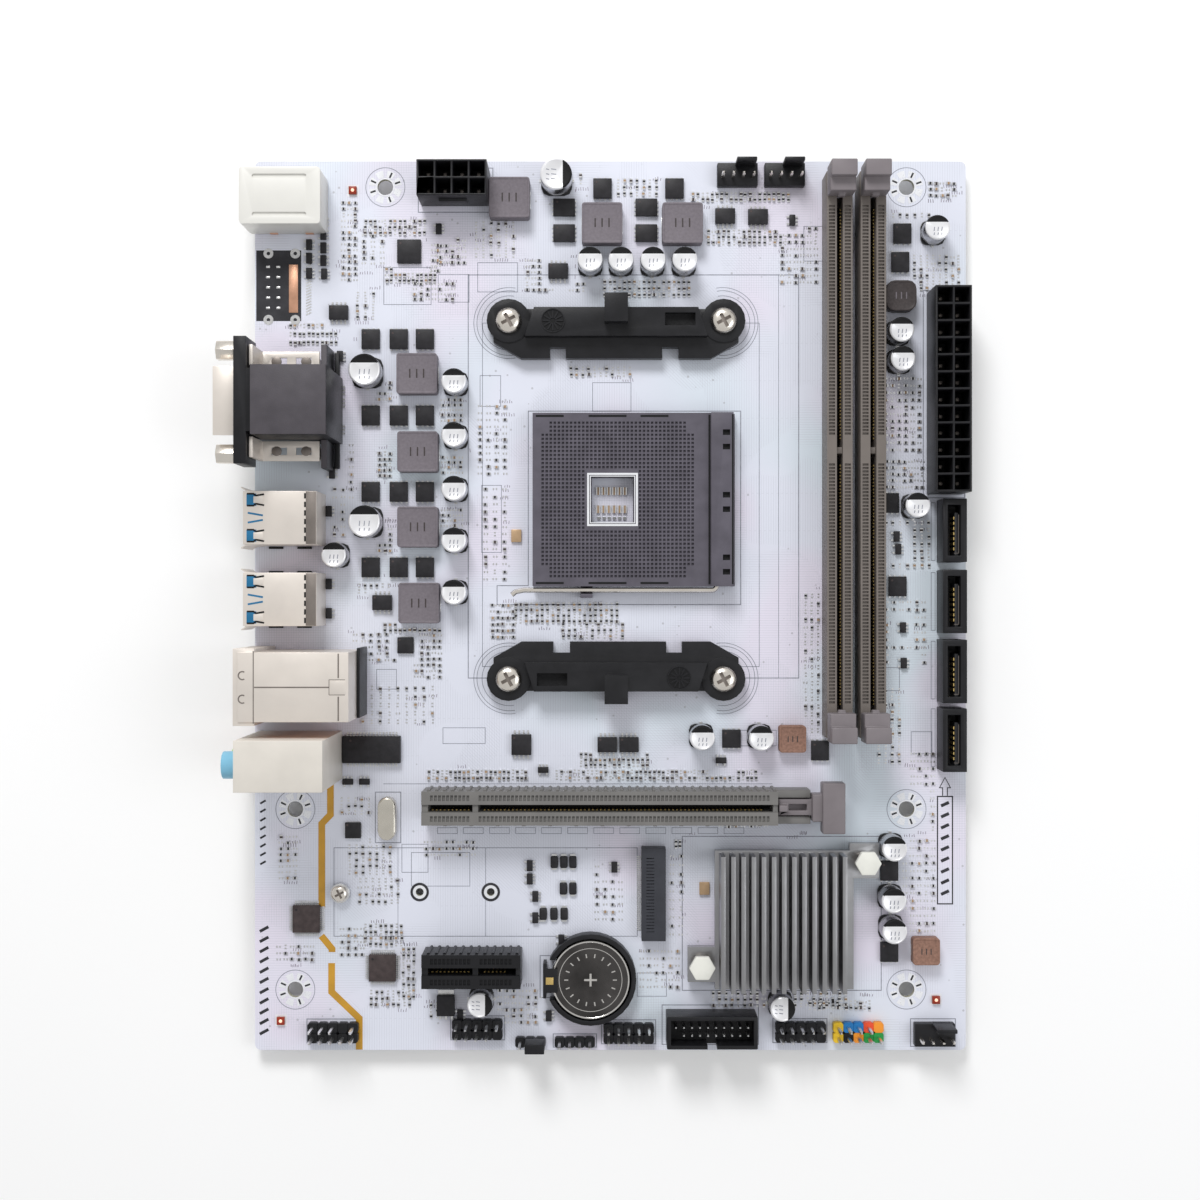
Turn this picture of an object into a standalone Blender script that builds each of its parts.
"""Compact white computer motherboard, built as the separate pieces it is assembled from.

Sizes are millimetres on the board: u runs right from the rear-port edge, v runs up from
the header edge, w is height over the component face.  Blender's own units are metres.
"""

import math

import bmesh
import bpy
from mathutils import Matrix, Vector

MM = 0.001

# ---- driving dimensions, millimetres -------------------------------------------------
BOARD_W = 180.0
BOARD_H = 225.0
BOARD_T = 1.6
BOARD_CORNER = 1.5
SEAT = 0.2            # air left under every piece that rests on another
SLIP = 0.3            # side clearance of pieces that slide or turn past each other

# Mounting holes: columns from the rear-port edge or the far edge, rows from the top edge.
HOLE_R = 1.98
PAD_R = 3.6
PAD_RISE = 0.06
HOLE_TOP = 6.5
HOLE_ROW_2 = 157.5
HOLE_ROW_3 = 45.7
HOLE_COL_NEAR = 10.2
HOLE_COL_PORT = 33.0
HOLE_FROM_RIGHT = 15.0

# Processor socket and the cooler mounting around it.
SOCKET_U = 91.4
SOCKET_DOWN = 85.9
COOLER_SPAN_U = 54.0
COOLER_SPAN_V = 90.0
FIELD_U = 44.6        # pin field plate, along u
SOCKET_V = 43.4
STRIP_U = 5.6         # cam housing beside the pin field
FIELD_TO_CENTRE = 20.9  # pin field's left edge to the middle of the cooler posts
FIELD_TO_WINDOW = 20.0  # pin field's left edge to the middle of its window
LUG_START = 12.0      # lug that holds the lever down, from the pin field's left edge
LUG_LENGTH = 3.0
CAM_LENGTH = 36.0     # cam groove in the housing
BASE_T = 2.8
COVER_T = 2.6
STRIP_T = 4.2
WINDOW = 11.4
COVER_TRAVEL = 1.0
LEVER_R = 0.65
LEVER_LENGTH = 51.5
LEVER_HOOK = 3.0
LEVER_W = BASE_T + SEAT + SLIP + LEVER_R
POST_R = 2.6
POST_BORE_R = 1.5
BACKPLATE_T = 2.5
BACKPLATE_MARGIN = 5.5
BACKPLATE_SLOT = 20.0
BRACKET_BOSS_R = 5.5
BRACKET_T = 3.6
BRACKET_RIDGE_T = 6.8
SCREW_HEAD_R = 3.3
SCREW_HEAD_T = 1.6
SCREW_SHANK_R = 1.3

# Memory sockets.
DIMM_LENGTH = 130.2
DIMM_W = 6.3
DIMM_T = 10.6
DIMM_PITCH = 8.3
DIMM_FROM_RIGHT = 33.3
DIMM_DOWN = 75.0
DIMM_SLIT = 1.5
DIMM_KEY_FROM_END = 64.0
LATCH_T = 3.4
LATCH_TOP = 19.6
LATCH_TAB = 7.2
LATCH_PIVOT_W = 3.2
LATCH_PIVOT_OUT = 2.2   # pivot's distance past the housing's end
LATCH_HEEL = 0.9        # latch below its pivot, short enough to swing clear
CHEEK_LENGTH = 5.2

# Edge-card slots.
X16_LENGTH = 88.2
X1_LENGTH = 24.5
CARD_W = 8.4
CARD_T = 11.0
CARD_SLIT = 1.9
CARD_KEY = 12.6
CARD_LATCH_W = 12.6
CARD_ARM_GAP = 2.0    # half the gap between the long slot's two arms

# Tall connectors.
CELL = 4.2            # pitch of the power sockets' cavities
CELL_WALL = 0.5
POWER_T = 12.6
SATA_U = 6.0
SATA_V = 15.8
SATA_T = 8.8
PIN_PITCH = 2.54
PIN = 0.64
HEADER_T = 2.5
PIN_TOP = 8.4
FINE_PITCH = 2.0

# Rear ports: size into the board, along the edge, and height.
PS2 = (20.0, 14.0, 13.0)
VGA_BODY = (18.0, 16.6, 28.0)
VGA_FLANGE = (3.0, 30.4, 12.6)
VGA_OVERHANG = 5.4
VGA_W = 20.6          # height of the analogue socket's centre
JACK_SPAN = 25.0
USB = (18.0, 13.1, 15.4)
USB_WALL = 0.45
NETWORK = (26.4, 16.6, 28.0)
NETWORK_MOUTH = (11.8, 8.4)
AUDIO = (21.0, 12.2, 33.0)
AUDIO_SLEEVE_R = 3.3
AUDIO_BORE_R = 1.8
AUDIO_STEP = 11.8
AUDIO_LEFT = 1.2
AUDIO_PROUD = 3.3

# Chipset cooler, coin cell and small parts.
HEATSINK = 34.8
HEATSINK_BASE = 2.4
FIN_COUNT = 13
FIN_PITCH = 2.5
FIN_T = 1.1
FIN_TOP = 12.0
CHIPSET = (22.0, 1.6)
EAR_REACH = 3.4
PUSH_PIN_R = 3.3
PUSH_STEM_R = 1.3
SPRING_T = 3.4        # height of the coil spring under each pin's head
CELL_R = 10.0
CELL_T = 3.2
HOLDER_WALL = 1.2
HOLDER_BOTTOM_V = 7.1   # holder's nearest point to the header edge, clear of the port header
CAN_SMALL_R = 3.15
CAN_LARGE_R = 4.0
CAN_T = 7.7
CHOKE = (10.2, 4.6)

# ---- places worked out from the sizes above ------------------------------------------
TOP_LEFT = (0.0, BOARD_H)
TOP_RIGHT = (BOARD_W, BOARD_H)
BOTTOM_LEFT = (0.0, 0.0)
BOTTOM_RIGHT = (BOARD_W, 0.0)

BOARD_W0 = -BOARD_T                       # underside of the board
FLOOR_W = BOARD_W0 - SEAT - BACKPLATE_T   # underside of the backplate, the lowest face
MID_U = (BOARD_W - VGA_OVERHANG) / 2
MID_V = BOARD_H / 2
SOCKET_C = (SOCKET_U, BOARD_H - SOCKET_DOWN)
SOCKET_LEFT = SOCKET_C[0] - FIELD_TO_CENTRE
STRIP_LEFT = SOCKET_LEFT + FIELD_U
STRIP_RIGHT = STRIP_LEFT + STRIP_U
LEVER_U = STRIP_LEFT + 1.6
LEVER_V = SOCKET_C[1] - SOCKET_V / 2 - SLIP - LEVER_R
DIMM_C = [(BOARD_W - DIMM_FROM_RIGHT + i * DIMM_PITCH, BOARD_H - DIMM_DOWN) for i in (0, 1)]
X16_LEFT = 43.2
X16_V = BOARD_H - 162.6
X1_V = BOARD_H - 203.0
HEATSINK_C = (BOARD_W - 46.4, BOARD_H - 191.3)
BATTERY_C = (85.0, HOLDER_BOTTOM_V + CELL_R + SLIP + HOLDER_WALL)
DRIVE_CARD_V = BOARD_H - 185.0
DRIVE_SLOT_U = 97.8
DRIVE_STUD = (21.8, DRIVE_CARD_V)
CLEAR_U = 69.8        # header for clearing the settings
CLEAR_V = 2.4


def at(corner, du, dv):
    """A place given as an offset from one corner of the board."""
    return corner[0] + du, corner[1] + dv


def world(u, v, w):
    """Metres, with the origin under the middle of the whole part's box."""
    return Vector(((u - MID_U) * MM, (v - MID_V) * MM, (w - FLOOR_W) * MM))


# ---- helpers -------------------------------------------------------------------------
def material(name, colour, roughness, metallic=0.0):
    made = bpy.data.materials.new(name)
    made.use_nodes = True
    shader = made.node_tree.nodes["Principled BSDF"]
    shader.inputs["Base Color"].default_value = (*colour, 1.0)
    shader.inputs["Roughness"].default_value = roughness
    shader.inputs["Metallic"].default_value = metallic
    made.diffuse_color = (*colour, 1.0)
    return made


def finish(name, shape, paint, pivot=None, smooth=False):
    """Turn a bmesh in board millimetres into an object whose origin is its pivot."""
    origin = world(*pivot) if pivot else Vector((0.0, 0.0, 0.0))
    for vert in shape.verts:
        vert.co = world(*vert.co) - origin
    bmesh.ops.recalc_face_normals(shape, faces=shape.faces)
    mesh = bpy.data.meshes.new(name)
    shape.to_mesh(mesh)
    shape.free()
    if smooth:
        mesh.shade_smooth()
        mesh.set_sharp_from_angle(angle=math.radians(35))
    mesh.materials.append(material(name, *paint))
    made = bpy.data.objects.new(name, mesh)
    made.location = origin
    bpy.context.scene.collection.objects.link(made)
    return made


def box(u, v, size_u, size_v, low, high):
    """Limits of a box centred on (u, v)."""
    return (u - size_u / 2, u + size_u / 2, v - size_v / 2, v + size_v / 2, low, high)


def carve(add, cut=(), keep=(), shape=None):
    """One closed skin round the boxes in add, less those in cut, plus those in keep."""
    shape = shape or bmesh.new()
    limits = [*add, *cut, *keep]
    axes = [sorted({round(b[k], 4) for b in limits for k in (2 * a, 2 * a + 1)}) for a in range(3)]
    middles = [[(lo + hi) / 2 for lo, hi in zip(cuts, cuts[1:])] for cuts in axes]

    def inside(point, boxes):
        return any(all(b[2 * a] < point[a] < b[2 * a + 1] for a in range(3)) for b in boxes)

    filled = set()
    for i, u in enumerate(middles[0]):
        for j, v in enumerate(middles[1]):
            for k, w in enumerate(middles[2]):
                point = (u, v, w)
                if inside(point, keep) or (inside(point, add) and not inside(point, cut)):
                    filled.add((i, j, k))

    corners = {}

    def corner(index):
        if index not in corners:
            corners[index] = shape.verts.new([axes[a][index[a]] for a in range(3)])
        return corners[index]

    faces = []
    for cell in filled:
        for a in range(3):
            b, c = (a + 1) % 3, (a + 2) % 3
            for side in (0, 1):
                beside = list(cell)
                beside[a] += 2 * side - 1
                if tuple(beside) in filled:
                    continue
                ring = []
                for db, dc in ((0, 0), (1, 0), (1, 1), (0, 1)):
                    index = list(cell)
                    index[a] += side
                    index[b] += db
                    index[c] += dc
                    ring.append(corner(tuple(index)))
                faces.append(shape.faces.new(ring if side else ring[::-1]))
    edges = {edge for face in faces for edge in face.edges}
    verts = {vert for face in faces for vert in face.verts}
    bmesh.ops.dissolve_limit(shape, angle_limit=0.01, verts=list(verts), edges=list(edges))
    return shape


def prism(outline, low, high, shape=None):
    """A closed upright prism over a list of (u, v) points."""
    shape = shape or bmesh.new()
    rings = [[shape.verts.new((u, v, w)) for u, v in outline] for w in (low, high)]
    shape.faces.new(rings[0][::-1])
    shape.faces.new(rings[1])
    count = len(outline)
    for i in range(count):
        j = (i + 1) % count
        shape.faces.new((rings[0][i], rings[0][j], rings[1][j], rings[1][i]))
    return shape


def arc(u, v, radius, start, end, steps):
    """Points along an arc, angles in degrees."""
    turns = [math.radians(start + (end - start) * i / steps) for i in range(steps + 1)]
    return [(u + radius * math.cos(t), v + radius * math.sin(t)) for t in turns]


def circle(u, v, radius, count):
    return arc(u, v, radius, 0, 360, count)[:-1]


def rounded(limits, radius, steps=3):
    """Outline of a rectangle with round corners."""
    u0, u1, v0, v1 = limits[:4]
    points = arc(u1 - radius, v1 - radius, radius, 0, 90, steps)
    points += arc(u0 + radius, v1 - radius, radius, 90, 180, steps)
    points += arc(u0 + radius, v0 + radius, radius, 180, 270, steps)
    return points + arc(u1 - radius, v0 + radius, radius, 270, 360, steps)


def turned(u, v, profile, count, shape=None, closed=False):
    """Revolve (radius, height) points about the upright axis through (u, v)."""
    shape = shape or bmesh.new()
    rings = []
    for radius, w in profile:
        if radius == 0:
            rings.append([shape.verts.new((u, v, w))])
        else:
            rings.append([shape.verts.new((*p, w)) for p in circle(u, v, radius, count)])
    pairs = list(zip(rings, rings[1:]))
    if closed:
        pairs.append((rings[-1], rings[0]))
    for low, high in pairs:
        for i in range(count):
            j = (i + 1) % count
            if len(low) == 1:
                shape.faces.new((low[0], high[j], high[i]))
            elif len(high) == 1:
                shape.faces.new((low[i], low[j], high[0]))
            else:
                shape.faces.new((low[i], low[j], high[j], high[i]))
    return shape


def ring(u, v, inner, outer, low, high, count, shape=None):
    """A closed tube standing on the board."""
    profile = [(outer, low), (outer, high), (inner, high), (inner, low)]
    return turned(u, v, profile, count, shape, closed=True)


def disc(u, v, radius, low, high, count, shape=None):
    """A closed upright cylinder."""
    return turned(u, v, [(0, low), (radius, low), (radius, high), (0, high)], count, shape)


def append(shape, part):
    """Move all of one bmesh into another."""
    mesh = bpy.data.meshes.new("part")
    part.to_mesh(mesh)
    part.free()
    shape.from_mesh(mesh)
    bpy.data.meshes.remove(mesh)


def lying(shape, u, v, w, axis):
    """Tip an upright shape about (u, v, w) so that its axis runs along u or v."""
    turn = Matrix.Rotation(math.radians(90), 4, "Y" if axis == "u" else "X")
    about = Matrix.Translation((u, v, w))
    bmesh.ops.transform(shape, matrix=about @ turn @ about.inverted(), verts=shape.verts)
    return shape


def tool(name, shape):
    """A hidden cutting or joining body for a Boolean."""
    made = finish(name, shape, ((0.5, 0.5, 0.5), 0.5))
    made.hide_render = True
    made.display_type = "WIRE"
    return made


def boolean(target, other, operation):
    step = target.modifiers.new(operation.lower(), "BOOLEAN")
    step.object = other
    step.operation = operation
    step.solver = "EXACT"
    step.use_self = True


def plate(name, outline, holes, low, high, paint):
    """A flat plate with holes, from a filled curve with an extrusion."""
    curve = bpy.data.curves.new(name, "CURVE")
    curve.dimensions = "2D"
    curve.fill_mode = "BOTH"
    curve.extrude = (high - low) / 2 * MM
    for loop in [outline, *holes]:
        spline = curve.splines.new("POLY")
        spline.points.add(len(loop) - 1)
        for point, (u, v) in zip(spline.points, loop):
            place = world(u, v, 0)
            point.co = (place.x, place.y, 0, 1)
        spline.use_cyclic_u = True
    guide = bpy.data.objects.new(name + "_outline", curve)
    bpy.context.scene.collection.objects.link(guide)
    mesh = bpy.data.meshes.new_from_object(guide)
    bpy.data.objects.remove(guide)
    shape = bmesh.new()
    shape.from_mesh(mesh)
    bpy.data.meshes.remove(mesh)
    bmesh.ops.translate(shape, verts=shape.verts, vec=(0, 0, world(0, 0, (low + high) / 2).z))
    bmesh.ops.remove_doubles(shape, verts=shape.verts, dist=0.01 * MM)
    bmesh.ops.recalc_face_normals(shape, faces=shape.faces)
    mesh = bpy.data.meshes.new(name)
    shape.to_mesh(mesh)
    shape.free()
    mesh.materials.append(material(name, *paint))
    made = bpy.data.objects.new(name, mesh)
    bpy.context.scene.collection.objects.link(made)
    return made


# ---- finishes ------------------------------------------------------------------------
WHITE_MASK = ((0.84, 0.85, 0.88), 0.35)
BLACK_PLASTIC = ((0.02, 0.02, 0.022), 0.45)
GREY_PLASTIC = ((0.40, 0.37, 0.36), 0.5)
SOCKET_GREY = ((0.09, 0.085, 0.10), 0.5)
WHITE_PLASTIC = ((0.80, 0.80, 0.74), 0.45)
STEEL = ((0.62, 0.60, 0.58), 0.3, 1.0)
SHIELD = ((0.78, 0.72, 0.66), 0.32, 1.0)
ALUMINIUM = ((0.55, 0.54, 0.52), 0.35, 1.0)
CHIP_BLACK = ((0.035, 0.033, 0.035), 0.5)
PIN_GOLD = ((0.75, 0.60, 0.28), 0.3, 1.0)


# ---- board and what hangs under it ---------------------------------------------------
def mounting_holes():
    top = BOARD_H - HOLE_TOP
    middle = top - HOLE_ROW_2
    bottom = middle - HOLE_ROW_3
    far = BOARD_W - HOLE_FROM_RIGHT
    places = [(HOLE_COL_PORT, top), (far, top)]
    for row in (middle, bottom):
        places += [(HOLE_COL_NEAR, row), (far, row)]
    return places


def cooler_posts():
    u, v = SOCKET_C
    spans = [(-1, -1), (1, -1), (1, 1), (-1, 1)]
    return [(u + a * COOLER_SPAN_U / 2, v + b * COOLER_SPAN_V / 2) for a, b in spans]


def push_pins():
    u, v = HEATSINK_C
    return [(u - 20.8, v - 11.2), (u + 20.4, v + 14.8)]


def circuit_board():
    """Laminate with its mounting holes, each with a raised plated pad, and its soldered parts."""
    limits = (0, BOARD_W, 0, BOARD_H)
    seat_r = (HOLE_R + PAD_R) / 2
    holes = [circle(u, v, seat_r, 16) for u, v in mounting_holes()]
    holes += [circle(u, v, POST_R + SLIP, 12) for u, v in cooler_posts()]
    holes += [circle(u, v, PUSH_STEM_R + SLIP, 10) for u, v in push_pins()]
    board = plate("circuit_board", rounded(limits, BOARD_CORNER), holes, BOARD_W0, 0, WHITE_MASK)
    pads = bmesh.new()
    for u, v in mounting_holes():
        ring(u, v, HOLE_R, PAD_R, BOARD_W0 - PAD_RISE, PAD_RISE, 16, pads)
    boolean(board, tool("pad_tool", pads), "UNION")
    boolean(board, tool("soldered_tool", soldered_parts()), "UNION")
    return board


def socket_backplate():
    """Steel plate under the board with four threaded posts that pass up through it."""
    u, v = SOCKET_C
    top = BOARD_W0 - SEAT
    size_u = COOLER_SPAN_U + 2 * BACKPLATE_MARGIN
    size_v = COOLER_SPAN_V + 2 * BACKPLATE_MARGIN
    outline = rounded(box(u, v, size_u, size_v, 0, 0), BACKPLATE_MARGIN, 4)
    holes = [circle(*post, POST_BORE_R, 10) for post in cooler_posts()]
    reach = BACKPLATE_SLOT / 2 + 4
    for side in (-1, 1):
        limits = box(u, v + side * reach, BACKPLATE_SLOT, BACKPLATE_SLOT, 0, 0)
        holes.append(rounded(limits, 3)[::-1])
    made = plate("socket_backplate", outline, holes, FLOOR_W, top, STEEL)
    posts = bmesh.new()
    for post in cooler_posts():
        ring(*post, POST_BORE_R, POST_R, FLOOR_W + 0.4, BRACKET_T - 0.6, 10, posts)
    boolean(made, tool("post_tool", posts), "UNION")
    return made


# ---- processor socket ----------------------------------------------------------------
def socket_base():
    """Fixed tray of the socket, with a lug that holds the lever down."""
    low = SOCKET_C[1] - SOCKET_V / 2
    high = low + SOCKET_V
    tray = (SOCKET_LEFT, STRIP_RIGHT + 0.6, low, high, SEAT, BASE_T)
    window = box(SOCKET_LEFT + FIELD_TO_WINDOW, SOCKET_C[1], WINDOW - 1, WINDOW, SEAT, BASE_T)
    near = SOCKET_LEFT + LUG_START
    far = near + LUG_LENGTH
    outer = LEVER_V - LEVER_R - SLIP
    foot = (near, far, outer - 1, low, SEAT, BASE_T - 0.4)
    lug = (near, far, outer - 1, outer, SEAT, LEVER_W + 1.4)
    return finish("socket_base", carve([tray, foot, lug], [window]), SOCKET_GREY)


def socket_cover():
    """Sliding plate that the processor's pins drop through, with the cam housing."""
    low = SOCKET_C[1] - SOCKET_V / 2
    high = low + SOCKET_V
    rest = BASE_T + SEAT
    field = (SOCKET_LEFT, STRIP_LEFT, low, high, rest, rest + COVER_T)
    strip = (STRIP_LEFT, STRIP_RIGHT, low, high, rest, rest + STRIP_T)
    window = box(SOCKET_LEFT + FIELD_TO_WINDOW, SOCKET_C[1], WINDOW, WINDOW + 1, rest, rest + COVER_T)
    groove_v = low + CAM_LENGTH
    side = LEVER_R + SLIP
    groove = (LEVER_U - side, LEVER_U + side + COVER_TRAVEL, low, groove_v, rest, LEVER_W + side)
    lands = []
    for v in (low + 1.6, high - 1.6):
        for du in (3.5, 12.0, 25.0, 33.5):
            lands.append((SOCKET_LEFT + du, SOCKET_LEFT + du + 6, v - 0.35, v + 0.35,
                          rest + COVER_T - 0.6, rest + COVER_T))
    slots = []
    for dv in (5, 8.6, 20.6, 24.2, 36.2, 39.8):
        slots.append(box(STRIP_RIGHT - 1.8, high - dv, 1.8, 1.4, rest + STRIP_T - 0.8, rest + STRIP_T))
    return finish("socket_cover", carve([field, strip], [window, groove, *lands, *slots]), SOCKET_GREY)


def socket_lever():
    """Bent wire: cam shaft in the housing, arm along the socket, finger hook at its tip."""
    curve = bpy.data.curves.new("socket_lever", "CURVE")
    curve.dimensions = "3D"
    curve.bevel_depth = LEVER_R * MM
    curve.bevel_resolution = 1
    curve.use_fill_caps = True
    bend = 1.2
    cam_end = SOCKET_C[1] - SOCKET_V / 2 + CAM_LENGTH - SLIP - 0.5
    tip = LEVER_U - LEVER_LENGTH
    route = [(LEVER_U, cam_end, LEVER_W)]
    route += [(u, v, LEVER_W) for u, v in arc(LEVER_U - bend, LEVER_V + bend, bend, 0, -90, 4)]
    route += [(tip + LEVER_HOOK, LEVER_V, LEVER_W), (tip + 1, LEVER_V - 0.4, LEVER_W)]
    route.append((tip, LEVER_V - 1.2, LEVER_W))
    spline = curve.splines.new("POLY")
    spline.points.add(len(route) - 1)
    origin = world(LEVER_U, LEVER_V, LEVER_W)
    for point, place in zip(spline.points, route):
        point.co = (*(world(*place) - origin), 1)
    curve.materials.append(material("socket_lever", *STEEL))
    made = bpy.data.objects.new("socket_lever", curve)
    made.location = origin
    bpy.context.scene.collection.objects.link(made)
    return made


def bracket(name, side):
    """Plastic rail for a clip-on cooler: two bosses, a stepped bar and a hook."""
    u, v = SOCKET_C[0], SOCKET_C[1] + side * COOLER_SPAN_V / 2
    half = COOLER_SPAN_U / 2

    def flip(points):
        return [(u + side * a, v + side * b) for a, b in points]

    skirt = [(-half - 3.8, -1), (-half - 3.8, -5.4), (-half + 3.2, -9.4), (-16.6, -9.4), (-16.6, -6.6),
             (-12.6, -6.6), (-12.6, -9.4), (11.6, -9.4), (11.6, -6.6), (15.8, -6.6), (15.8, -9.4),
             (half - 3.2, -9.4), (half + 3.8, -5.4), (half + 3.8, -1), (half - 4, 3), (-half + 4, 3)]
    ridge = [(-half + 4.2, -4.2), (half - 4.2, -4.2), (half - 6.5, 3.0), (-half + 6.5, 3.0)]
    hook = [(-2.9, -1.2), (2.9, -1.2), (2.9, 5.9), (-2.9, 5.9)]
    made = finish(name, prism(flip(skirt), SEAT, BRACKET_T), BLACK_PLASTIC)
    parts = bmesh.new()
    for a in (-half, half):
        disc(u + a, v, BRACKET_BOSS_R, SEAT, BRACKET_T + 0.4, 20, parts)
    boolean(made, tool(name + "_boss_tool", parts), "UNION")
    boolean(made, tool(name + "_ridge_tool", prism(flip(ridge), SEAT + 0.3, BRACKET_RIDGE_T)), "UNION")
    boolean(made, tool(name + "_hook_tool", prism(flip(hook), SEAT + 0.6, 11.0)), "UNION")
    cut = bmesh.new()
    for a in (-half, half):
        disc(u + a, v, POST_R + SLIP, -1, BRACKET_T + 2, 12, cut)
    prism(flip([(12.2, -1.6), (19.8, -1.6), (19.8, 1.6), (12.2, 1.6)]), BRACKET_RIDGE_T - 2, 9, cut)
    boolean(made, tool(name + "_cut_tool", cut), "DIFFERENCE")
    return made


def bracket_screws():
    """Pan-head screws in the backplate's posts."""
    low = BRACKET_T + 0.4 + SEAT
    profile = [(0, 0.2), (SCREW_SHANK_R, 0.2), (SCREW_SHANK_R, low), (SCREW_HEAD_R, low),
               (SCREW_HEAD_R, low + 0.8), (SCREW_HEAD_R * 0.6, low + SCREW_HEAD_T),
               (0, low + SCREW_HEAD_T)]
    for i, (u, v) in enumerate(cooler_posts()):
        finish("bracket_screw_%d" % (i + 1), turned(u, v, profile, 14), STEEL, smooth=True)


# ---- memory sockets ------------------------------------------------------------------
def memory_slot(name, centre):
    """Long housing with its card slit, and a pair of cheeks at each end for a latch."""
    u, v = centre
    half = DIMM_LENGTH / 2
    body = box(u, v, DIMM_W, DIMM_LENGTH, SEAT, DIMM_T)
    slit = box(u, v, DIMM_SLIT, DIMM_LENGTH - 5, 3.0, DIMM_T)
    key = box(u, v + half - DIMM_KEY_FROM_END, DIMM_SLIT, 1.6, 3.0, DIMM_T - 1.5)
    mouths = [box(u, v + s * (half - 1.3), DIMM_SLIT, 2.6, 3.0, DIMM_T) for s in (-1, 1)]
    cheeks = []
    gap = LATCH_T / 2 + SLIP
    for end in (-1, 1):
        near, far = sorted((v + end * (half - 0.1), v + end * (half + CHEEK_LENGTH)))
        cheeks.append((u - DIMM_W / 2, u - gap, near, far, SEAT, DIMM_T - 1.0))
        cheeks.append((u + gap, u + DIMM_W / 2, near, far, SEAT, DIMM_T - 1.0))
    return finish(name, carve([body, *cheeks], [slit, *mouths], [key]), GREY_PLASTIC)


def memory_latch(name, centre, end):
    """Ejector latch at one end of a memory socket, standing closed."""
    u, v = centre
    start = v + end * (DIMM_LENGTH / 2 + SLIP)
    pivot = (u, v + end * (DIMM_LENGTH / 2 + LATCH_PIVOT_OUT), LATCH_PIVOT_W)
    heel = LATCH_PIVOT_W - LATCH_HEEL

    def along(near, far):
        return tuple(sorted((start + end * near, start + end * far)))

    stem = (u - LATCH_T / 2, u + LATCH_T / 2, *along(0, 4.2), heel, DIMM_T)
    tab = (u - DIMM_W / 2, u + DIMM_W / 2, *along(-1.6, LATCH_TAB - 1.6), DIMM_T + SLIP, LATCH_TOP - 2.4)
    grip = (tab[0], tab[1], *along(1.6, LATCH_TAB - 1.6), tab[4], LATCH_TOP)
    join = (stem[0], stem[1], *along(0, 4.2), heel, DIMM_T + 1)
    nose = (u - 0.9, u + 0.9, *along(-2.4, 0), DIMM_T + 2.0, DIMM_T + 4.4)
    return finish(name, carve([stem, join, tab, grip, nose]), GREY_PLASTIC, pivot)


# ---- card slots ----------------------------------------------------------------------
def card_slot(name, left, v, length, paint, arms=False):
    """Edge-card slot with its key; the long one has two arms for its card latch."""
    right = left + length
    body = (left, right, v - CARD_W / 2, v + CARD_W / 2, SEAT, CARD_T)
    slit = (left + 1.6, right - 1.2, v - CARD_SLIT / 2, v + CARD_SLIT / 2, 2.6, CARD_T)
    key = (left + CARD_KEY, left + CARD_KEY + 1.4, slit[2], slit[3], 2.6, CARD_T)
    add = [body]
    if arms:
        for side in (-1, 1):
            near, far = sorted((v + side * (CARD_ARM_GAP + SLIP), v + side * CARD_W / 2))
            add.append((right - 0.5, right + 8.4, near, far, SEAT, 7.6))
    return finish(name, carve(add, [slit], [key]), paint)


def graphics_slot_latch():
    """Pivoting lock at the end of the long slot; pressing the tab frees the card."""
    right = X16_LEFT + X16_LENGTH
    pivot = (right + 5.0, X16_V, 2.6)
    stem = (right + SLIP, right + 9.2, X16_V - CARD_ARM_GAP, X16_V + CARD_ARM_GAP, 1.4, 8.4)
    neck = (right + 8.6, right + 12.0, X16_V - 3.4, X16_V + 3.4, 4.6, 10.2)
    tab = (right + 11.0, right + 16.6, X16_V - CARD_LATCH_W / 2, X16_V + CARD_LATCH_W / 2, 6.0, 11.4)
    tooth = (right + SLIP, right + 2.4, X16_V - 0.8, X16_V + 0.8, 8.0, 11.4)
    slit = (right + SLIP + 2.6, right + 7.4, X16_V - 0.8, X16_V + 0.8, 6.4, 8.4)
    return finish("graphics_slot_latch", carve([stem, neck, tab, tooth], [slit]), GREY_PLASTIC, pivot)


def drive_card_slot():
    """Low socket for a flat solid-state drive card, open towards the ports."""
    limits = (DRIVE_SLOT_U, DRIVE_SLOT_U + 6.1, DRIVE_CARD_V - 11.7, DRIVE_CARD_V + 11.7, SEAT, 4.2)
    mouth = (DRIVE_SLOT_U, DRIVE_SLOT_U + 4.4, DRIVE_CARD_V - 10.2, DRIVE_CARD_V + 10.2, 1.6, 2.8)
    key = (DRIVE_SLOT_U, DRIVE_SLOT_U + 4.4, DRIVE_CARD_V - 6.8, DRIVE_CARD_V - 5.6, 1.6, 2.8)
    return finish("drive_card_slot", carve([limits], [mouth], [key]), BLACK_PLASTIC)


def drive_card_standoff():
    shape = ring(DRIVE_STUD[0], DRIVE_STUD[1], 1.2, 2.5, SEAT, 2.4, 14)
    return finish("drive_card_standoff", shape, PIN_GOLD, smooth=True)


def drive_card_screw():
    u, v = DRIVE_STUD
    profile = [(0, 0.4), (0.95, 0.4), (0.95, 2.6), (2.1, 2.6), (2.1, 3.1), (1.5, 3.5), (0, 3.5)]
    return finish("drive_card_screw", turned(u, v, profile, 14), STEEL, smooth=True)


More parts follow.
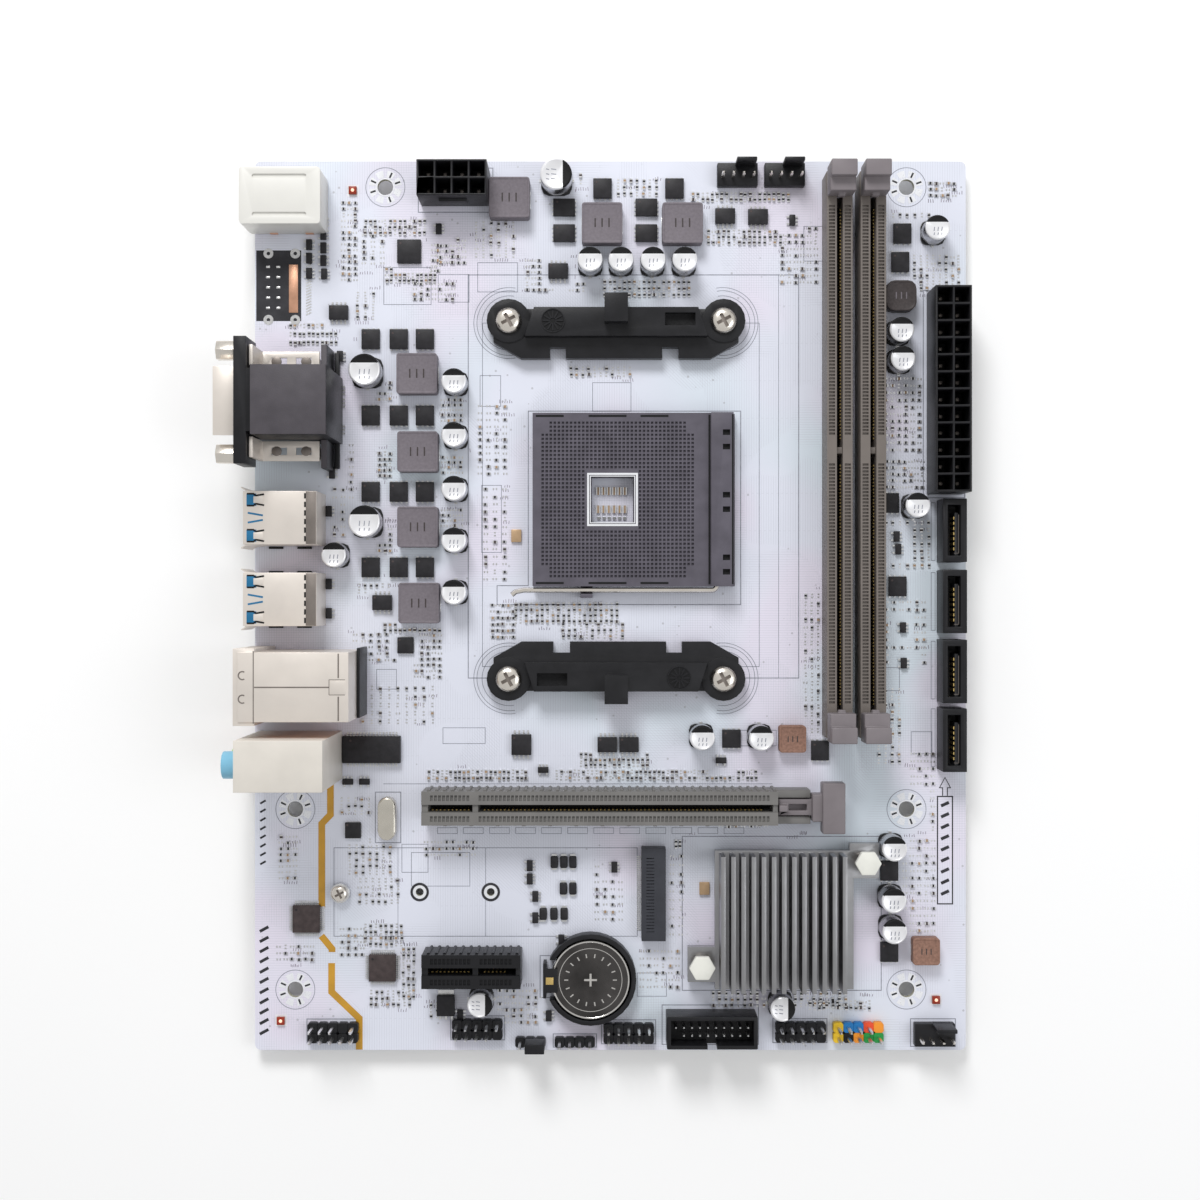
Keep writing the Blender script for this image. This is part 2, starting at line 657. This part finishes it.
# ---- power and data sockets ----------------------------------------------------------
def power_socket(name, centre, columns, rows, ramp):
    """Shrouded power socket: one square cavity for each contact, and a ramp for the plug's clip."""
    u, v = centre
    body = box(u, v, columns * CELL + CELL_WALL, rows * CELL + CELL_WALL, SEAT, POWER_T)
    cavities = []
    open_size = CELL - CELL_WALL
    for i in range(columns):
        for j in range(rows):
            place = (u + (i - (columns - 1) / 2) * CELL, v + (j - (rows - 1) / 2) * CELL)
            cavities.append(box(*place, open_size, open_size, 2.2, POWER_T))
    return finish(name, carve([body, ramp], cavities), BLACK_PLASTIC)


def disk_port(name, v):
    """Upright data socket with an L-shaped mouth."""
    u = BOARD_W - 4.45
    body = box(u, v, SATA_U, SATA_V, SEAT, SATA_T)
    slit = box(u - 0.2, v, 3.2, 12.6, 2.4, SATA_T)
    blade = (u + 0.0, u + 1.0, v - 6.3, v + 4.4, 2.4, SATA_T - 0.8)
    return finish(name, carve([body], [slit], [blade]), BLACK_PLASTIC)


def pin_header(name, u, v, columns, rows, missing=(), pitch=PIN_PITCH, shroud=None, pin_top=PIN_TOP):
    """Rows of square pins standing in a plastic strip, with a shroud where it has one."""
    size_u = columns * pitch
    size_v = rows * pitch
    add = [box(u, v, size_u, size_v, SEAT, HEADER_T)]
    pins = []
    for i in range(columns):
        for j in range(rows):
            if (i, j) in missing:
                continue
            place = (u + (i - (columns - 1) / 2) * pitch, v + (j - (rows - 1) / 2) * pitch)
            pins.append(box(*place, PIN, PIN, HEADER_T - 0.5, pin_top))
    cut = []
    if shroud:
        outer_u, outer_v, top, notch = shroud
        add = [box(u, v, outer_u, outer_v, SEAT, top)]
        cut = [box(u, v, outer_u - 2, outer_v - 2, HEADER_T, top)]
        cut.append((u - notch / 2, u + notch / 2, v - outer_v / 2, v, HEADER_T, top))
    return finish(name, carve(add, cut, pins), BLACK_PLASTIC)


def fan_header(name, u, v):
    """Four pins and the short upright wall that guides the plug."""
    base = box(u, v, 4 * PIN_PITCH, 5.8, SEAT, 3.0)
    pins = [box(u + (i - 1.5) * PIN_PITCH, v - 0.7, PIN, PIN, 2.5, PIN_TOP) for i in range(4)]
    guide = (u - 0.6, u + 4.4, v + 1.9, v + 2.9, SEAT, 9.4)
    return finish(name, carve([base, guide], [], pins), BLACK_PLASTIC)


def jumper_cap():
    """Pull-off bridge over the last two pins of the clear header."""
    u = CLEAR_U + PIN_PITCH / 2
    body = box(u, CLEAR_V, 2 * PIN_PITCH - 0.2, 2.4, HEADER_T + SLIP, PIN_TOP + 1.0)
    hollow = box(u, CLEAR_V, PIN_PITCH + PIN + 2 * SLIP, PIN + 2 * SLIP, HEADER_T + SLIP, PIN_TOP + 0.4)
    pivot = (u, CLEAR_V, HEADER_T + SLIP)
    return finish("jumper_cap", carve([body], [hollow]), BLACK_PLASTIC, pivot)


# ---- rear ports ----------------------------------------------------------------------
def keyboard_port(v):
    """Round keyboard socket in a plastic block with a ring groove in its face."""
    depth, width, height = PS2
    left = -1.5
    shape = prism(rounded((left, left + depth, v - width / 2, v + width / 2), 0.8, 2), SEAT, height)
    made = finish("keyboard_port", shape, WHITE_PLASTIC)
    groove = ring(left, v, 3.9, 4.6, 5.4, 8.0, 20)
    lying(groove, left, v, 6.7, "u")
    boolean(made, tool("keyboard_groove_tool", groove), "DIFFERENCE")
    return made


def display_port(v):
    """Digital video socket below an analogue one, in one moulded block."""
    depth, width, height = VGA_BODY
    block = (4.2, 4.2 + depth, v - width / 2, v + width / 2, SEAT, height)
    flange = (0.0, VGA_FLANGE[0], v - VGA_FLANGE[1] / 2, v + VGA_FLANGE[1] / 2, VGA_W - 6.3, VGA_W + 6.3)
    link = (VGA_FLANGE[0], 4.2, v - 7.5, v + 7.5, SEAT, height - 1)
    lower = (0.6, 4.2, v - 8.2, v + 8.2, SEAT, VGA_W - 6.3)
    mouth = (0.6, 11.0, v - 7.0, v + 7.0, 2.0, 6.6)
    tongue = (3.0, 12.0, v - 5.4, v + 5.4, 3.5, 5.1)
    rails = []
    for side in (-1, 1):
        near, far = sorted((v + side * (width / 2 - 0.2), v + side * 15.2))
        rails.append((18.6, 20.0, near, far, SEAT, 12.0))
    return finish("display_port", carve([block, flange, link, lower, *rails], [mouth], [tongue]),
                  BLACK_PLASTIC)


def display_bracket(name, v, side):
    """Folded plate that carries one of the display port's jack screws down to the board."""
    width = VGA_BODY[1]
    near, far = sorted((v + side * (width / 2 + SLIP), v + side * (width / 2 + 5.2)))
    left = VGA_FLANGE[0] + SLIP
    top = (left, 18.2, near, far, 11.2, 12.0)
    front = (left, 4.2, near, far, 11.2, VGA_W + 4)
    leg = (16.4, 17.4, near + 1, far - 1, SEAT, 11.4)
    return finish(name, carve([top, front, leg]), STEEL)


def display_shell(v):
    """Steel D-shaped collar round the analogue contacts."""
    low, high = VGA_W - 4.1, VGA_W + 4.1
    outer = [(v - 8.3, high), (v - 7.0, low), (v + 7.0, low), (v + 8.3, high)]
    shape = bmesh.new()
    rings = [[shape.verts.new((u, a, b)) for a, b in outer] for u in (-VGA_OVERHANG, -SEAT)]
    shape.faces.new(rings[0])
    shape.faces.new(rings[1][::-1])
    for i in range(4):
        j = (i + 1) % 4
        shape.faces.new((rings[0][i], rings[1][i], rings[1][j], rings[0][j]))
    return finish("display_shell", shape, STEEL)


def display_jack_screw(name, v):
    """Hexagonal post that a display plug's thumbscrew turns into."""
    part = ring(0, v, 1.3, 2.6, 0, VGA_OVERHANG - 0.4, 6)
    lying(part, 0, v, 0, "u")
    bmesh.ops.translate(part, verts=part.verts, vec=(0.2 - VGA_OVERHANG, 0, VGA_W))
    return finish(name, part, STEEL)


def usb_port(name, v):
    """Steel shell with two plug mouths, each with its contact tongue."""
    depth, width, height = USB
    shell = (0.0, depth, v - width / 2, v + width / 2, SEAT, height)
    half = width / 2 - USB_WALL
    mouths = []
    tongues = []
    for low in (1.4, 8.9):
        mouths.append((0.0, 12.5, v - half, v + half, low, low + 5.1))
        tongues.append((1.8, 13.0, v - 5.4, v + 5.4, low + 2.6, low + 4.4))
    return finish(name, carve([shell], mouths, tongues), SHIELD)


def network_port(v):
    """Shielded block: network socket above two plug mouths."""
    depth, width, height = NETWORK
    left = 1.2
    front = left - 1.2
    body = (left, left + depth, v - width / 2, v + width / 2, SEAT, height)
    collar = (front, left + 4.0, v - width / 2 - 0.9, v + width / 2 + 0.9, SEAT, height - 0.4)
    wide, tall = NETWORK_MOUTH
    socket = (front, 12.5, v - wide / 2, v + wide / 2, 17.0, 17.0 + tall)
    mouths = []
    tongues = []
    for low in (1.4, 8.9):
        mouths.append((front, 12.5, v - 6.1, v + 6.1, low, low + 5.1))
        tongues.append((1.8, 13.0, v - 5.4, v + 5.4, low + 2.6, low + 4.4))
    return finish("network_port", carve([body, collar], [socket, *mouths], tongues), SHIELD)


def audio_port(v):
    """Tall block with three round sound sockets, each in a sleeve that stands proud."""
    depth, width, height = AUDIO
    made = finish("audio_port", carve([box(AUDIO_LEFT + depth / 2, v, depth, width, SEAT, height)]), SHIELD)
    sleeves = bmesh.new()
    bores = bmesh.new()
    for w in audio_heights():
        for radius, length, shape in ((AUDIO_SLEEVE_R, 6.0, sleeves), (AUDIO_BORE_R, 14.0, bores)):
            part = lying(disc(0, v, radius, 0, length, 14), 0, v, 0, "u")
            bmesh.ops.translate(part, verts=part.verts, vec=(AUDIO_LEFT - AUDIO_PROUD, 0, w))
            append(shape, part)
    bmesh.ops.translate(bores, verts=bores.verts, vec=(-1, 0, 0))
    boolean(made, tool("sleeve_tool", sleeves), "UNION")
    boolean(made, tool("bore_tool", bores), "DIFFERENCE")
    return made


def audio_heights():
    top = AUDIO[2] - AUDIO_SLEEVE_R - 1.6
    return [top - i * AUDIO_STEP for i in range(3)]


# ---- chipset, cell and small parts ---------------------------------------------------
def chipset():
    size, height = CHIPSET
    return finish("chipset", carve([box(*HEATSINK_C, size, size, SEAT, height)]), CHIP_BLACK)


def heatsink():
    """Extruded fins on a base with two ears for the push pins."""
    u, v = HEATSINK_C
    low = CHIPSET[1] + SEAT
    top = low + HEATSINK_BASE
    add = [box(u, v, HEATSINK, HEATSINK, low, top)]
    for pin_u, pin_v in push_pins():
        edge = u + math.copysign(HEATSINK / 2 - 1, pin_u - u)
        near, far = sorted((edge, pin_u + math.copysign(EAR_REACH, pin_u - u)))
        add.append((near, far, pin_v - 4.4, pin_v + 4.4, low, top))
    for i in range(FIN_COUNT):
        fin_u = u - 0.8 + (i - (FIN_COUNT - 1) / 2) * FIN_PITCH
        add.append(box(fin_u, v, FIN_T, HEATSINK - 1, top - 0.2, FIN_TOP))
    made = finish("chipset_heatsink", carve(add), ALUMINIUM)
    holes = bmesh.new()
    for pin in push_pins():
        disc(*pin, PUSH_STEM_R + SLIP, low - 1, top + 1, 10, holes)
    boolean(made, tool("pin_hole_tool", holes), "DIFFERENCE")
    return made


def heatsink_push_pins():
    """Plastic pins with hexagonal heads and barbed ends under the board."""
    head = CHIPSET[1] + SEAT + HEATSINK_BASE + SPRING_T
    profile = [(0, BOARD_W0 - 2.2), (0.8, BOARD_W0 - 2.2), (PUSH_STEM_R, BOARD_W0 - 0.4),
               (PUSH_STEM_R, head), (PUSH_PIN_R, head), (PUSH_PIN_R, head + 1.8), (0, head + 1.8)]
    for name, (u, v) in zip(("left", "right"), push_pins()):
        finish("heatsink_push_pin_" + name, turned(u, v, profile, 6), WHITE_PLASTIC)


def battery_holder():
    """Round plastic cup for the coin cell, open where its clip stands."""
    u, v = BATTERY_C
    inner = CELL_R + SLIP
    outer = inner + HOLDER_WALL
    profile = [(0, SEAT), (outer, SEAT), (outer, 4.4), (inner, 4.4), (inner, 0.9), (0, 0.9)]
    made = finish("battery_holder", turned(u, v, profile, 32), BLACK_PLASTIC, smooth=True)
    cut = carve([(u - outer - 1, u - inner + 1.6, v - 5.0, v + 5.0, 0.0, 5.0)])
    boolean(made, tool("holder_cut_tool", cut), "DIFFERENCE")
    return made


def battery():
    u, v = BATTERY_C
    low = 0.9 + SEAT
    edge = 0.4
    profile = [(0, low), (CELL_R - 1.4, low), (CELL_R - 1.4, low + edge), (CELL_R, low + edge),
               (CELL_R, low + CELL_T - 0.3), (CELL_R - 0.3, low + CELL_T), (0, low + CELL_T)]
    return finish("battery", turned(u, v, profile, 32), STEEL, smooth=True)


def battery_clip():
    """Springy catch over the edge of the coin cell."""
    u, v = BATTERY_C
    back = u - CELL_R - SLIP - HOLDER_WALL - 0.4
    pivot = (back + 0.4, v, SEAT + 0.4)
    top = 0.9 + SEAT + CELL_T
    wall = (back, back + 0.8, v - 4.4, v + 4.4, SEAT, top + 1.1)
    lip = (back, back + 3.6, v - 3.0, v + 3.0, top + SLIP, top + 1.1)
    return finish("battery_clip", carve([wall, lip]), BLACK_PLASTIC, pivot)


def timing_crystal():
    u, v = 33.7, BOARD_H - 166.1
    radius = 2.3
    outline = arc(u, v + 3.2, radius, 0, 180, 6) + arc(u, v - 3.2, radius, 180, 360, 6)
    return finish("timing_crystal", prism(outline, SEAT, 3.5), STEEL)


def capacitor_places():
    small = [at(TOP_LEFT, *p) for p in (
        (50.9, -56.4), (50.9, -69.8), (50.9, -83.2), (50.9, -96.1), (50.9, -109.1), (21.0, -99.8),
        (84.9, -26.1), (92.6, -26.1), (100.6, -26.1), (108.5, -26.1), (112.9, -145.4), (127.6, -145.5))]
    small += [at(TOP_RIGHT, *p) for p in (
        (-8.5, -18.2), (-17.4, -43.6), (-17.1, -50.8), (-13.4, -87.4),
        (-19.2, -173.1), (-19.4, -186.0), (-19.2, -193.7))]
    small += [at(BOTTOM_LEFT, *p) for p in ((132.9, 12.0), (57.4, 13.0))]
    large = [at(TOP_LEFT, *p) for p in ((28.6, -53.6), (28.6, -91.4), (76.4, -4.9))]
    return [(*p, CAN_SMALL_R) for p in small] + [(*p, CAN_LARGE_R) for p in large]


def choke_places():
    """Moulded square inductors of the processor's supply, and three smaller ones."""
    size, height = CHOKE
    places = [(*at(TOP_LEFT, *p), size, size, height) for p in (
        (64.6, -10.0), (87.9, -16.4), (108.1, -16.4), (41.4, -54.2), (41.6, -73.8),
        (41.6, -92.7), (41.9, -111.8))]
    places.append((*at(TOP_LEFT, 135.8, -146.0), 6.8, 6.8, 3.8))
    places.append((*at(TOP_RIGHT, -10.6, -199.4), 6.8, 6.8, 3.8))
    places.append((*at(TOP_RIGHT, -17.0, -34.6), 7.6, 7.6, 4.4))
    return places


def transistor_places():
    """Flat switching transistors beside the chokes."""
    places = [(u, v, 4.9, 5.4) for v in (-45.1, -64.4, -83.7, -102.8) for u in (29.4, 36.5, 43.1)]
    places += [(u, v, 5.8, 4.8) for u in (78.3, 99.1) for v in (-11.8, -18.3)]
    places += [(88.0, -7.0, 5.0, 5.4), (106.2, -7.0, 5.0, 5.4), (120.6, -146.1, 5.0, 5.0)]
    near = [(*at(TOP_LEFT, *p[:2]), *p[2:], 1.3) for p in places]
    far = [(-37.0, -149.1), (-16.2, -18.4), (-16.7, -25.6), (-19.3, -86.5), (-17.4, -107.6),
           (-19.5, -179.5), (-19.5, -200.0)]
    return near + [(*at(TOP_RIGHT, *p), 4.8, 5.4, 1.3) for p in far]


def chip_places():
    """Packages of the network, sound, supply and input-output circuits."""
    return [(*at(TOP_LEFT, *p[:2]), *p[2:]) for p in (
        (39.1, -22.9, 6.0, 6.0, 1.1), (29.7, -148.8, 14.6, 6.8, 2.2), (13.2, -191.6, 6.9, 6.9, 1.6),
        (32.4, -204.0, 6.8, 6.8, 1.6), (38.2, -122.5, 4.1, 4.1, 1.0), (24.9, -169.3, 4.0, 4.0, 1.0),
        (76.8, -27.9, 5.0, 3.8, 1.6), (119.0, -14.0, 5.0, 3.8, 1.6), (127.3, -14.2, 5.0, 3.8, 1.6),
        (67.5, -147.6, 5.0, 5.2, 1.6), (89.2, -147.6, 4.9, 3.8, 1.6), (94.7, -147.6, 4.9, 3.8, 1.6),
        (21.3, -38.4, 4.8, 3.6, 1.6), (32.3, -111.7, 4.9, 3.8, 1.6))]


def soldered_parts():
    """The small soldered pieces, rooted in the laminate so that they join the board."""
    shape = bmesh.new()
    root = BOARD_W0 / 2
    for u, v, size_u, size_v, top in choke_places() + transistor_places() + chip_places():
        carve([box(u, v, size_u, size_v, root, top)], shape=shape)
    for u, v, radius in capacitor_places():
        disc(u, v, radius, root, CAN_T, 12, shape)
    return shape


# ---- assembly ------------------------------------------------------------------------
def clear_scene():
    for thing in list(bpy.data.objects):
        bpy.data.objects.remove(thing, do_unlink=True)


def build():
    clear_scene()
    circuit_board()
    socket_backplate()
    socket_base()
    socket_cover()
    socket_lever()
    bracket("cooler_bracket_upper", 1)
    bracket("cooler_bracket_lower", -1)
    bracket_screws()
    for word, centre in zip(("inner", "outer"), DIMM_C):
        memory_slot("memory_slot_" + word, centre)
        memory_latch("memory_latch_" + word + "_top", centre, 1)
        memory_latch("memory_latch_" + word + "_bottom", centre, -1)
    card_slot("graphics_slot", X16_LEFT, X16_V, X16_LENGTH, GREY_PLASTIC, arms=True)
    graphics_slot_latch()
    card_slot("expansion_slot", X16_LEFT, X1_V, X1_LENGTH, BLACK_PLASTIC)
    drive_card_slot()
    drive_card_standoff()
    drive_card_screw()

    main_u, main_v = at(TOP_RIGHT, -5.5, -58.9)
    ramp_u = main_u + CELL + CELL_WALL / 2
    power_socket("main_power_socket", (main_u, main_v), 2, 12,
                 (ramp_u, ramp_u + 0.7, main_v - 3.5, main_v + 3.5, 5.0, 9.0))
    eps_u, eps_v = at(TOP_LEFT, 50.8, -6.9)
    ramp_v = eps_v - CELL - CELL_WALL / 2
    power_socket("processor_power_socket", (eps_u, eps_v), 4, 2,
                 (eps_u - 3.5, eps_u + 3.5, ramp_v - 0.7, ramp_v, 5.0, 9.0))
    for i, down in enumerate((93.7, 111.4, 128.8, 145.9)):
        disk_port("disk_port_%d" % (4 - i), BOARD_H - down)

    fan_header("processor_fan_header", *at(TOP_LEFT, 122.0, -3.9))
    fan_header("case_fan_header_top", *at(TOP_LEFT, 133.9, -3.9))
    fan_header("case_fan_header_bottom", *at(BOTTOM_RIGHT, -8.3, 4.4))
    pin_header("front_sound_header", 20.0, 4.8, 5, 2, missing=((3, 1),))
    pin_header("serial_header", 56.4, 5.6, 5, 2, missing=((4, 0),))
    pin_header("clear_header", CLEAR_U, CLEAR_V, 3, 1)
    jumper_cap()
    pin_header("speaker_header", 81.0, 2.4, 4, 1)
    pin_header("usb_header_left", 94.6, 4.6, 5, 2, missing=((4, 0),))
    pin_header("usb_header_right", 138.0, 4.9, 5, 2, missing=((4, 0),))
    pin_header("front_panel_header", 152.5, 4.9, 5, 2, missing=((4, 1),))
    pin_header("fast_usb_header", 115.3, 6.4, 10, 2, missing=((0, 0),), pitch=FINE_PITCH,
               shroud=(22.6, 8.2, 9.0, 2.4), pin_top=7.6)

    keyboard_port(BOARD_H - 11.4)
    display_v = BOARD_H - 63.3
    display_port(display_v)
    display_shell(display_v)
    for word, side in (("upper", 1), ("lower", -1)):
        display_bracket("display_bracket_" + word, display_v, side)
        display_jack_screw("display_jack_screw_" + word, display_v + side * JACK_SPAN / 2)
    usb_port("usb_port_upper", BOARD_H - 90.9)
    usb_port("usb_port_lower", BOARD_H - 110.9)
    network_port(BOARD_H - 131.8)
    audio_port(BOARD_H - 150.2)

    chipset()
    heatsink()
    heatsink_push_pins()
    battery_holder()
    battery()
    battery_clip()
    timing_crystal()


build()
